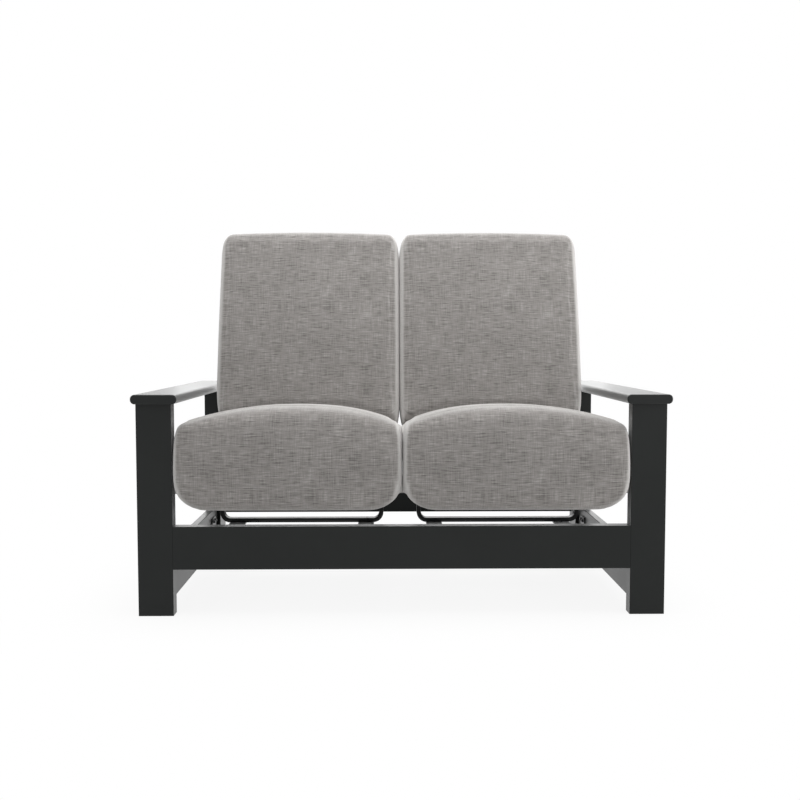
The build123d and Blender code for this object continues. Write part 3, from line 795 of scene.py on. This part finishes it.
def seat_section(share):
    """The outline of a seat cushion at a share of its half width, positive outwards."""
    from_side = (1 - abs(share)) * SEAT_HALF
    bulge = {name: bulged_in(from_side, *size) for name, size in SEAT_BULGES.items()}
    front = SEAT_BOW * share**2 + bulge["front"]
    top_front, top_crown, top_rear = (
        seat_fall(share) + bulge[name] for name in ("top_front", "top_crown", "top_rear")
    )
    lip = bulge["lip"] + bulge["lip_edge"]
    rear, bottom = drawn_in(from_side, 0.024), drawn_in(from_side, 0.026)
    lip_back = SEAT_START[0] - LIP_GAP
    rear_foot = back_plane(BACK_START[1], CLEAR + rear)
    rear_head = back_plane(REAR_EDGE - top_rear, CLEAR + rear)
    narrow = 1 - front / (LIP_OUT + SEAT_START[0] - FRONT_FACE - LIP_GAP)
    turn = math.atan2(
        CROWN[1] - top_crown - REAR_EDGE + top_rear, rear_head - CROWN[0]
    ) + math.atan2(
        FRONT_EDGE - top_front - CROWN[1] + top_crown, CROWN[0] - FRONT_FACE + EDGE_OUT - front
    )
    return rounded((
        (rear_foot, seat_bottom(rear_foot, CLEAR + bottom), 0.0381),
        (rear_head, REAR_EDGE - top_rear, max(0.026 - top_rear / 4, 0.004)),
        (CROWN[0], CROWN[1] - top_crown, 0.127 / math.tan(max(turn, 0.02) / 2)),
        (FRONT_FACE - EDGE_OUT + front, FRONT_EDGE - top_front, max(0.062 - top_front / 2, 0.012)),
        (FRONT_FACE - BELLY_OUT + front, LIP_BOTTOM + BELLY_RISE, 0.25),
        (FRONT_FACE - LIP_OUT + front, LIP_BOTTOM + lip, 0.026 * narrow),
        (lip_back, LIP_BOTTOM + LIP_RISE + lip, 0.016 * narrow),
        (lip_back, seat_bottom(lip_back, CLEAR + bottom), 0.006),
    ))


def back_section(share):
    """The outline of a back cushion at a share of its half width, positive outwards."""
    outer = share > 0
    from_side = (1 - abs(share)) * BACK_HALF
    front = BACK_BOW * share**2 + bulged_in(from_side, *BACK_FRONT_BULGE) - CLEAR - BACK_THICKNESS
    rear_fall = drawn_in(from_side, 0.014)
    rear = -CLEAR - rear_fall
    upper = bulged_in(from_side, *BACK_UPPER_BULGES[outer])
    top_fall = BACK_TOP_BOW * share**2 + upper + drawn_in(from_side, 0.01)
    top = BACK_TOP - top_fall
    lower = bulged_in(from_side, *BACK_LOWER_BULGES[outer])
    bottom = lower - corner_drop(BACK_MIDDLE + share * BACK_HALF)

    def stand(along):
        """Where the seat cushion's top lies in the back's plane."""
        y, z = on_slope(BACK_START, BACK_RECLINE, along, 0.0)
        over = CROWN[1] - REAR_SLOPE * (y - CROWN[0]) + 2 * CLEAR
        return (over - z) / (math.cos(BACK_RECLINE) + REAR_SLOPE * math.sin(BACK_RECLINE))

    flat = rounded((
        (rear, stand(rear) + bottom, 0.024),
        (rear, top - 0.012, 0.028 - rear_fall / 2),
        (front + BACK_EASE, top, max(0.038 - top_fall / 2, 0.016)),
        (front, (stand(front) + top) / 2, 1.8),
        (front + BACK_EASE, stand(front) + bottom, 0.024),
    ))
    return np.array([on_slope(BACK_START, BACK_RECLINE, along, up) for along, up in flat])


def pattern_mesh(name, section, middle, half, across=72, around=300):
    """A cushion's sewing pattern: its section swept across its width, closest near the sides."""
    shares = np.sin(np.linspace(-math.pi / 2, math.pi / 2, across + 1))
    points, faces = [], []
    for share in shares:
        points += [(middle + share * half, y, z) for y, z in evenly(section(float(share)), around)]
    for row in range(across):
        for step in range(around):
            here, ahead = row * around + step, row * around + (step + 1) % around
            faces.append((here, ahead, ahead + around, here + around))
    faces.append(tuple(range(around)))
    faces.append(tuple(reversed(range(across * around, (across + 1) * around))))
    mesh = bpy.data.meshes.new(name)
    mesh.from_pydata(points, [], faces)
    shape = bmesh.new()
    shape.from_mesh(mesh)
    bmesh.ops.recalc_face_normals(shape, faces=shape.faces)
    shape.to_mesh(mesh)
    shape.free()
    return mesh


def along_outline(points, outline):
    """For each (y, z) point, how far along the closed outline its nearest place lies."""
    runs = np.roll(outline, -1, axis=0) - outline
    lengths = np.linalg.norm(runs, axis=1)
    before = np.concatenate(([0.0], np.cumsum(lengths)[:-1]))
    found = np.zeros(len(points))
    batch = 4000
    for low in range(0, len(points), batch):
        part = points[low : low + batch, None, :] - outline[None, :, :]
        share = np.clip((part * runs).sum(2) / np.maximum(lengths**2, 1e-12), 0, 1)
        gap = np.linalg.norm(part - share[..., None] * runs, axis=2)
        near = gap.argmin(1)
        found[low : low + batch] = before[near] + share[range(len(near)), near] * lengths[near]
    return found


def lay_cloth(mesh, outline, middle):
    """Stores where each point lies on the cloth, along its weft and across, and how much it faces
    a side."""
    points, normals = points_of(mesh), normals_of(mesh)
    across = along_outline(points[:, 1:], outline)
    store_places(mesh, np.stack([points[:, 0] - middle, across, np.abs(normals[:, 0])], 1))


def smoothed(piece, passes):
    """Evens a piece's points out. The modifier waits to be baked."""
    modifier = piece.modifiers.new("smoothed", "SMOOTH")
    modifier.factor = 0.5
    modifier.iterations = passes


def stuffed(pattern, tilt, settings, limits):
    """A cushion blown up by cloth simulation inside its pattern, and kept off what it rests on.
    Its cells lie along the tilt. Each limit gives how far points are over it, and its normal."""
    pattern.transform(Matrix.Rotation(tilt, 4, "X"))
    piece = add_object(pattern.name, pattern)
    tree = BVHTree.FromObject(piece, bpy.context.evaluated_depsgraph_get())
    remesh = piece.modifiers.new("cells", "REMESH")
    remesh.mode = "VOXEL"
    remesh.voxel_size = settings.voxel
    bake(piece)
    start = np.array([tree.find_nearest(Vector(point))[0] for point in points_of(piece.data)])
    set_points(piece.data, start)
    smoothed(piece, 4)
    bake(piece)
    start, normals = points_of(piece.data), normals_of(piece.data)
    points = start
    set_points(piece.data, start - normals * settings.shrink)
    cloth = piece.modifiers.new("stuffing", "CLOTH")
    for name, value in CLOTH.items():
        setattr(cloth.settings, name, value)
    cloth.settings.uniform_pressure_force = settings.pressure
    cloth.settings.effector_weights.gravity = 0.0
    cloth.point_cache.frame_start = 1
    cloth.point_cache.frame_end = settings.frames
    for step in range(1, settings.frames + 1):
        bpy.context.scene.frame_set(step)
    bake(piece)
    bpy.context.scene.frame_set(1)
    proud = ((points_of(piece.data) - start) * normals).sum(1)
    points = start + normals * np.clip(proud, -settings.dip, settings.swell)[:, None]
    set_points(piece.data, points)
    smoothed(piece, 3)
    finer = piece.modifiers.new("finer", "SUBSURF")
    finer.levels = finer.render_levels = 1
    bake(piece)
    piece.data.transform(Matrix.Rotation(-tilt, 4, "X"))
    points = points_of(piece.data)
    for limit in limits:
        over, normal = limit(points)
        points -= np.clip(over, 0, None)[:, None] * np.array(normal)
    set_points(piece.data, points)
    piece.data.shade_smooth()
    return piece


def behind_lip(points):
    return points[:, 1] > SEAT_START[0] - 0.001


def under_seat(points):
    return (points[:, 1] < SEAT_START[0] + 0.02) & (points[:, 2] < SEAT_START[1] - 0.002)


def plane(origin, normal, held=lambda points: 1.0):
    """A flat limit for all points, or for those that a test picks out."""
    return lambda points: ((points - np.array(origin)) @ np.array(normal) * held(points), normal)


def between_cushions(gap, way):
    """The limit where a back cushion stands on a seat cushion, which falls away to its sides."""
    fall = math.atan(REAR_SLOPE)
    normal = (0.0, way * math.sin(fall), way * math.cos(fall))

    def limit(points):
        drops = np.array([corner_drop(x) for x in points[:, 0]])
        lowered = points + np.stack([np.zeros(len(points)), np.zeros(len(points)), drops], 1)
        return (lowered - np.array((0.0, CROWN[0], CROWN[1] + gap))) @ np.array(normal), normal

    return limit


def cushion_limits(sign):
    """The planes that both cushions stay behind: the loveseat's middle and the bucket's back."""
    back_way = (0.0, math.cos(BACK_RECLINE), -math.sin(BACK_RECLINE))
    return [
        plane((sign * TOUCH, 0.0, 0.0), (-sign, 0.0, 0.0)),
        plane((0.0, BACK_START[0] - TOUCH, BACK_START[1]), back_way),
    ]


def add_cushion(side, sign, part, section, place, tilt, limits):
    """A finished cushion. Its place is the middle and half of its width."""
    scene = bpy.context.scene
    fabric = bpy.data.materials.get("heathered_fabric") or fabric_finish(scene.loveseat_fabric)
    middle, half = sign * place[0], place[1]
    pattern = pattern_mesh(
        f"{side}_{part}_pad", lambda share: section(share * sign), middle, half
    )
    piece = stuffed(pattern, tilt, scene.loveseat_cushions, cushion_limits(sign) + limits)
    lay_cloth(piece.data, section(0.0), middle)
    finish_piece(piece, fabric, "cushion_fabric", f"{side}_{part}_cushion")
    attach(piece, f"{side}_seat")


# ---- slings


def add_sling(side, sign, part, start, slope, span, settings, cloth, thread, growth):
    """A finished sling over a span of the rails, with its four rows of stitches."""
    width, length = 2 * RAIL_INNER, span[1] - span[0]
    columns, rows, steps = 48, 60, 40

    def placed(across, run, lift=0.0):
        """A point of the sling, which gives most in its middle."""
        give = math.cos(math.pi * across / width) * math.sin(math.pi * run / length)
        deep = SLING_DROP + settings.sag * give + lift
        return (sign * SEAT_CENTRE + across, *on_slope(start, slope, span[0] + run, -deep))

    spots = [
        ((column / columns - 0.5) * width, row / rows * length)
        for row in range(rows + 1)
        for column in range(columns + 1)
    ]
    stride = columns + 1
    faces = [
        (corner, corner + 1, corner + stride + 1, corner + stride)
        for row in range(rows)
        for corner in range(row * stride, row * stride + columns)
    ]
    sheet = bpy.data.meshes.new(f"{side}_{part}_mesh_sling")
    sheet.from_pydata([placed(*spot) for spot in spots], [], faces)
    store_places(sheet, [(*spot, 0.0) for spot in spots])
    sling = add_object(sheet.name, sheet)
    wall = sling.modifiers.new("wall", "SOLIDIFY")
    wall.thickness = 0.0014
    wall.offset = 0.0
    bake(sling)
    shaded(sling.data)
    finish_piece(sling, cloth, "sling", f"{side}_{part}_sling")
    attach(sling, f"{side}_seat")
    stitch_rows = []
    for way, inset in ((-1, 0.012), (-1, 0.017), (1, 0.017), (1, 0.012)):
        seam = [
            placed(way * (width / 2 - inset), 0.004 + step / steps * (length - 0.008), 0.0008)
            for step in range(steps + 1)
        ]
        stitch_rows.append(growth.grow(seam, Pitch=settings.stitch, Material=thread))
    stitches = joined(f"{side}_{part}_sling_stitches", stitch_rows)
    finish_piece(stitches, thread, "sling")
    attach(stitches, f"{side}_seat")


# ---- operators


class LOVESEAT_OT_stage(bpy.types.Operator):
    """Sets up the camera, the lamps, the floor and the background"""

    bl_idname = "loveseat.stage"
    bl_label = "Stage"

    def execute(self, context):
        scene, settings = context.scene, context.scene.loveseat_stage
        camera = bpy.data.cameras.new("camera")
        camera.lens = settings.lens
        camera.sensor_width = 36.0
        eye = bpy.data.objects.new("camera", camera)
        eye.location = settings.eye
        eye.rotation_euler = (math.pi / 2 - settings.pitch, 0.0, -settings.yaw)
        scene.collection.objects.link(eye)
        scene.camera = eye
        scene.view_settings.view_transform = "Standard"

        world = Finish("studio", "World")
        even, white = (
            world.node("ShaderNodeBackground", {"Color": WHITE, "Strength": strength})
            for strength in (settings.ambient, 1.0)
        )
        scene.world = world.done(world.shared(world.seen(), even, white))

        for name, place, target, size, power in LAMPS:
            lamp = bpy.data.lights.new(name, "AREA")
            lamp.shape = "SQUARE"
            lamp.size = size
            lamp.energy = power
            held = bpy.data.objects.new(name, lamp)
            held.location = place
            held.visible_camera = False
            way = Vector(target) - Vector(place)
            held.rotation_euler = way.to_track_quat("-Z", "Y").to_euler()
            scene.collection.objects.link(held)

        far = 14.0
        mesh = bpy.data.meshes.new("floor")
        corners = [(-far, -far, 0), (far, -far, 0), (far, far, 0), (-far, far, 0)]
        mesh.from_pydata(corners, [], [(0, 1, 2, 3)])
        floor = add_object("floor", mesh)
        finish = Finish("pale_floor")
        x, y, _ = finish.split(finish.spot())
        matt = finish.node("ShaderNodeBsdfDiffuse", {"Color": (0.8, 0.8, 0.8, 1.0)})
        glow = finish.node("ShaderNodeEmission", {"Color": WHITE, "Strength": 1.0})
        wide = 1 - x.absolute().between(0.55, 1.0)
        deep = 1 - (y * 1.3).absolute().between(0.45, 0.9)
        shown = finish.shared(wide * deep * settings.floor_shadow, glow, matt)
        mesh.materials.append(finish.done(finish.shared(finish.seen(), matt, shown)))
        return {"FINISHED"}


class LOVESEAT_OT_boards(bpy.types.Operator):
    """Finishes the legs, arms, rails and corner blocks"""

    bl_idname = "loveseat.boards"
    bl_label = "Boards"

    def execute(self, context):
        material = board_finish(context.scene.loveseat_boards)
        for name in ("front_rail", "back_rail"):
            dress_node(name, material)
        for side, _ in SEATS:
            for name in ("front_leg", "back_leg", "arm", "side_rail", "corner_block"):
                dress_node(f"{side}_{name}", material)
        return {"FINISHED"}


class LOVESEAT_OT_steelwork(bpy.types.Operator):
    """Finishes the base bars, plates, straight tubes and caps"""

    bl_idname = "loveseat.steelwork"
    bl_label = "Steelwork"

    def execute(self, context):
        steel, tube, cap = finish_named("black_coat"), finish_named("tube_coat"), cap_finish()
        for bar in ("front", "rear"):
            dress_node(f"{bar}_base_bar", steel)
            for side, _ in SEATS:
                dress_node(f"{side}_{bar}_bar_plate", steel)
        for side, _ in SEATS:
            dress_node(f"{side}_tube_caps", cap)
            for name in ("front_tube", "rear_tube", "top_tube"):
                dress_node(f"{side}_{name}", tube)
        return {"FINISHED"}


class LOVESEAT_OT_bent_bars(bpy.types.Operator):
    """Makes the bent bucket rails and the hoops"""

    bl_idname = "loveseat.bent_bars"
    bl_label = "Bent bars"

    def execute(self, context):
        settings = context.scene.loveseat_bars
        growth = bent_bar_growth()
        tube, steel = finish_named("tube_coat"), finish_named("black_coat")
        leg, low = RAIL_OUTER + HOOP_BAR / 2, LEAF_TOP + HOOP_BAR / 2
        hoop_route = ((-leg, HOOP_TOP), (-leg, low), (leg, low), (leg, HOOP_TOP))
        for side, sign in SEATS:
            middle = sign * SEAT_CENTRE
            for place, rail_sign in (("outer", sign), ("inner", -sign)):
                x = middle + rail_sign * (RAIL_OUTER - TUBE / 2)
                rail = bent_piece(
                    growth, f"{side}_{place}_bent_rail", [(x, y, z) for y, z in RAIL_ROUTE],
                    tube, "bucket_tube", f"{side}_{place}_bucket_rail",
                    Width=TUBE, Height=TUBE, Edge=settings.tube_edge, Bend=TUBE_BEND,
                )
                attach(rail, f"{side}_seat")
            hoop = bent_piece(
                growth, f"{side}_bent_hoop", [(middle + x, HOOP_MIDDLE, z) for x, z in hoop_route],
                steel, "black_steel", f"{side}_hoop",
                Width=HOOP_DEPTH, Height=HOOP_BAR, Edge=settings.bar_edge,
                Bend=HOOP_CORNER - HOOP_BAR / 2, Across=(0.0, 1.0, 0.0),
            )
            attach(hoop, f"{side}_seat")
        return {"FINISHED"}


class LOVESEAT_OT_springs(bpy.types.Operator):
    """Makes the four C-shaped leaf springs"""

    bl_idname = "loveseat.springs"
    bl_label = "Leaf springs"

    def execute(self, context):
        edge = context.scene.loveseat_bars.bar_edge
        growth = bent_bar_growth()
        steel = finish_named("black_coat")
        low, high = LEAF_LOW + LEAF_THICKNESS / 2, LEAF_TOP - LEAF_THICKNESS / 2
        front = LEAF_FRONT + LEAF_THICKNESS / 2
        route = ((LEAF_LOWER_END, low), (front, low), (front, high), (LEAF_UPPER_END, high))
        for side, sign in SEATS:
            for place, leaf_sign in (("outer", sign), ("inner", -sign)):
                x = sign * SEAT_CENTRE + leaf_sign * LEAF_SPREAD
                leaf = bent_piece(
                    growth, f"{side}_{place}_leaf", [(x, y, z) for y, z in route],
                    steel, "black_steel", f"{side}_{place}_spring",
                    Width=LEAF_WIDTH, Height=LEAF_THICKNESS, Edge=edge, Bend=(high - low) / 2,
                )
                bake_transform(leaf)
        return {"FINISHED"}


class LOVESEAT_OT_fasteners(bpy.types.Operator):
    """Makes the bolts, screws and nuts"""

    bl_idname = "loveseat.fasteners"
    bl_label = "Fasteners"

    def execute(self, context):
        bolts = context.scene.loveseat_bolts
        growth = fastener_growth()
        coat = finish_named("bolt_coat")
        names = ("Radius", "Height", "Sides", "Washer", "Top", "Shank")
        kinds = {
            "hex": (bolts.hex_radius, bolts.hex_height, 6, 1.12, 0.84, bolts.bolt_radius),
            "pan": (bolts.pan_radius, bolts.pan_height, 24, 1.0, 0.72, bolts.screw_radius),
            "nut": (bolts.nut_radius, bolts.nut_height, 6, 1.05, 0.86, bolts.screw_radius),
        }
        low, high = LEAF_LOW + LEAF_THICKNESS, LEAF_TOP - LEAF_THICKNESS
        nut, tip = bolts.nut_height, bolts.nut_height + 0.0015
        back, up, down = (0.0, 1.0, 0.0), (0.0, 0.0, 1.0), (0.0, 0.0, -1.0)
        for side, sign in SEATS:
            out, into = (float(sign), 0.0, 0.0), (float(-sign), 0.0, 0.0)
            middle = sign * SEAT_CENTRE
            leaves = (middle - LEAF_SPREAD, middle + LEAF_SPREAD)
            side_spots = [(sign * SIDE_RAIL_MIDDLE, BACK_FACE, z) for z in SIDE_BOLT_HEIGHTS]
            back_spots = [(sign * BACK_LEG_OUTER, BACK_RAIL_MIDDLE, z) for z in BACK_BOLT_HEIGHTS]
            # By group: kind, reach, where the heads face, and spots
            groups = {
                "plate_bolts": [
                    ("pan", -0.03, out, [(sign * SIDE_RAIL_OUTER, *at) for at in PLATE_BOLTS]),
                    ("nut", tip, into, [(sign * PLATE_INNER, *at) for at in PLATE_BOLTS]),
                ],
                "leg_bolts": [("hex", -0.14, back, side_spots), ("hex", -0.087, out, back_spots)],
                "base_bolts": [
                    ("hex", -0.0102, up, [(x, bar, low) for x in leaves for bar in BARS])
                ],
                "hoop_bolts": [("hex", -0.0105, down, [(x, HOOP_MIDDLE, high) for x in leaves])],
                "rail_bolts": [
                    ("nut", reach, (way * facing, 0.0, 0.0),
                     [(middle + way * far, HOOP_MIDDLE, RAIL_BOLT_HEIGHT)])
                    for reach, far, facing in (
                        (nut, RAIL_OUTER + HOOP_BAR, 1.0), (tip, RAIL_INNER, -1.0)
                    )
                    for way in (-1.0, 1.0)
                ],
            }
            for name, group in groups.items():
                meshes = [
                    growth.grow(
                        spots, linked=False, Reach=reach, Facing=facing, Material=coat,
                        **dict(zip(names, kinds[kind])),
                    )
                    for kind, reach, facing, spots in group
                ]
                piece = joined(f"{side}_{name}_detailed", meshes)
                finish_piece(piece, coat, "fasteners", f"{side}_{name}")
                body = f"{side}_seat" if name in ("hoop_bolts", "rail_bolts") else "frame"
                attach(piece, body)
        return {"FINISHED"}


class LOVESEAT_OT_slings(bpy.types.Operator):
    """Makes the mesh slings and their stitching"""

    bl_idname = "loveseat.slings"
    bl_label = "Slings"

    def execute(self, context):
        tools = (
            context.scene.loveseat_bars,
            sling_finish(),
            steel_finish("stitch_thread", (0.05, 0.051, 0.052), 0.7, 0.2),
            stitch_growth(),
        )
        for side, sign in SEATS:
            add_sling(side, sign, "seat", SEAT_START, SEAT_SLOPE, SEAT_SLING, *tools)
            slope = BACK_RECLINE - math.pi / 2
            add_sling(side, sign, "back", BACK_START, slope, BACK_SLING, *tools)
        return {"FINISHED"}


class LOVESEAT_OT_seat_cushions(bpy.types.Operator):
    """Makes the two seat cushions"""

    bl_idname = "loveseat.seat_cushions"
    bl_label = "Seat cushions"

    def execute(self, context):
        down = (0.0, -math.sin(SEAT_SLOPE), -math.cos(SEAT_SLOPE))
        for side, sign in SEATS:
            limits = [
                between_cushions(TOUCH, 1),
                plane((0.0, SEAT_START[0], SEAT_START[1] + TOUCH), down, behind_lip),
                plane((0.0, SEAT_START[0] - 0.002, 0.0), (0.0, 1.0, 0.0), under_seat),
                plane((sign * SEAT_REACH, 0.0, 0.0), (sign, 0.0, 0.0)),
            ]
            place = (SEAT_CENTRE, SEAT_HALF)
            add_cushion(side, sign, "seat", seat_section, place, SEAT_SLOPE, limits)
        return {"FINISHED"}


class LOVESEAT_OT_back_cushions(bpy.types.Operator):
    """Makes the two back cushions"""

    bl_idname = "loveseat.back_cushions"
    bl_label = "Back cushions"

    def execute(self, context):
        for side, sign in SEATS:
            limits = [between_cushions(2 * CLEAR, -1)]
            place = (BACK_MIDDLE, BACK_HALF)
            add_cushion(side, sign, "back", back_section, place, BACK_RECLINE, limits)
        return {"FINISHED"}


class LOVESEAT_PT_panel(bpy.types.Panel):
    """Lists the steps that dress the loveseat"""

    bl_label = "Loveseat"
    bl_idname = "LOVESEAT_PT_panel"
    bl_space_type = "VIEW_3D"
    bl_region_type = "UI"
    bl_category = "Loveseat"

    def draw(self, context):
        for operator in OPERATORS:
            self.layout.operator(operator.bl_idname)
        for name in SETTINGS:
            group = getattr(context.scene, name)
            box = self.layout.box()
            for key in group.bl_rna.properties.keys():
                if key not in ("rna_type", "name"):
                    box.prop(group, key)


SETTINGS = {
    "loveseat_stage": StageSettings,
    "loveseat_bars": BarSettings,
    "loveseat_bolts": BoltSettings,
    "loveseat_cushions": CushionSettings,
    "loveseat_fabric": FabricSettings,
    "loveseat_boards": BoardSettings,
}
OPERATORS = (
    LOVESEAT_OT_stage,
    LOVESEAT_OT_boards,
    LOVESEAT_OT_steelwork,
    LOVESEAT_OT_bent_bars,
    LOVESEAT_OT_springs,
    LOVESEAT_OT_fasteners,
    LOVESEAT_OT_slings,
    LOVESEAT_OT_seat_cushions,
    LOVESEAT_OT_back_cushions,
)
CLASSES = (*SETTINGS.values(), *OPERATORS, LOVESEAT_PT_panel)


def register():
    for made in CLASSES:
        bpy.utils.register_class(made)
    for name, group in SETTINGS.items():
        setattr(bpy.types.Scene, name, bpy.props.PointerProperty(type=group))


def unregister():
    for name in SETTINGS:
        delattr(bpy.types.Scene, name)
    for made in reversed(CLASSES):
        bpy.utils.unregister_class(made)


def main():
    register()
    bpy.ops.loveseat.stage()
    bpy.ops.loveseat.boards()
    bpy.ops.loveseat.steelwork()
    bpy.ops.loveseat.bent_bars()
    bpy.ops.loveseat.springs()
    bpy.ops.loveseat.fasteners()
    bpy.ops.loveseat.slings()
    bpy.ops.loveseat.seat_cushions()
    bpy.ops.loveseat.back_cushions()


if __name__ == "__main__":
    main()
